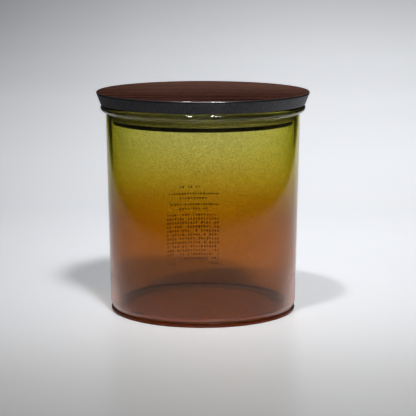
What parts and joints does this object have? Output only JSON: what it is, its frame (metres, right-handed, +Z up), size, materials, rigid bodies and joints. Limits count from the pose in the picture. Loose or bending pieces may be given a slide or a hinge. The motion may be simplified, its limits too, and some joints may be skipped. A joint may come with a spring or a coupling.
{
  "type": "glass storage jar with wooden lid",
  "caption": "Straight glass apothecary jar with a rolled rim, tinted green to amber to red-brown, closed by a dark turned wooden lid with a seal.",
  "frame": {"origin": "centre of the circle the jar stands on, on the floor plane", "axes": "+Z up along the jar's axis, towards the lid; the small print on the glass is on the +Y side"},
  "size_m": [0.1096, 0.1096, 0.1135],
  "materials": {
    "glass": "clear wall with a see-through tint that fades from olive green at the rim through amber to red-brown at the base",
    "board_wood": "dark red-brown stained top with fine grain, charcoal side, satin",
    "plug_wood": "black stained, satin",
    "seal": "pale translucent silicone, satin"
  },
  "bodies": {
    "jar": {"glass_jar": "glass"},
    "seal": {"seal_ring": "seal"},
    "lid": {"lid_board": "board_wood", "lid_plug": "plug_wood"}
  },
  "joints": [
    {"name": "lid_lift", "type": "slide", "parent": "jar", "child": "seal", "axis": [0, 0, 1], "range_m": [0, 0.12]},
    {"name": "lid_turn", "type": "hinge", "parent": "seal", "child": "lid", "pos_m": [0, 0, 0.107], "axis": [0, 0, 1], "continuous": true}
  ]
}
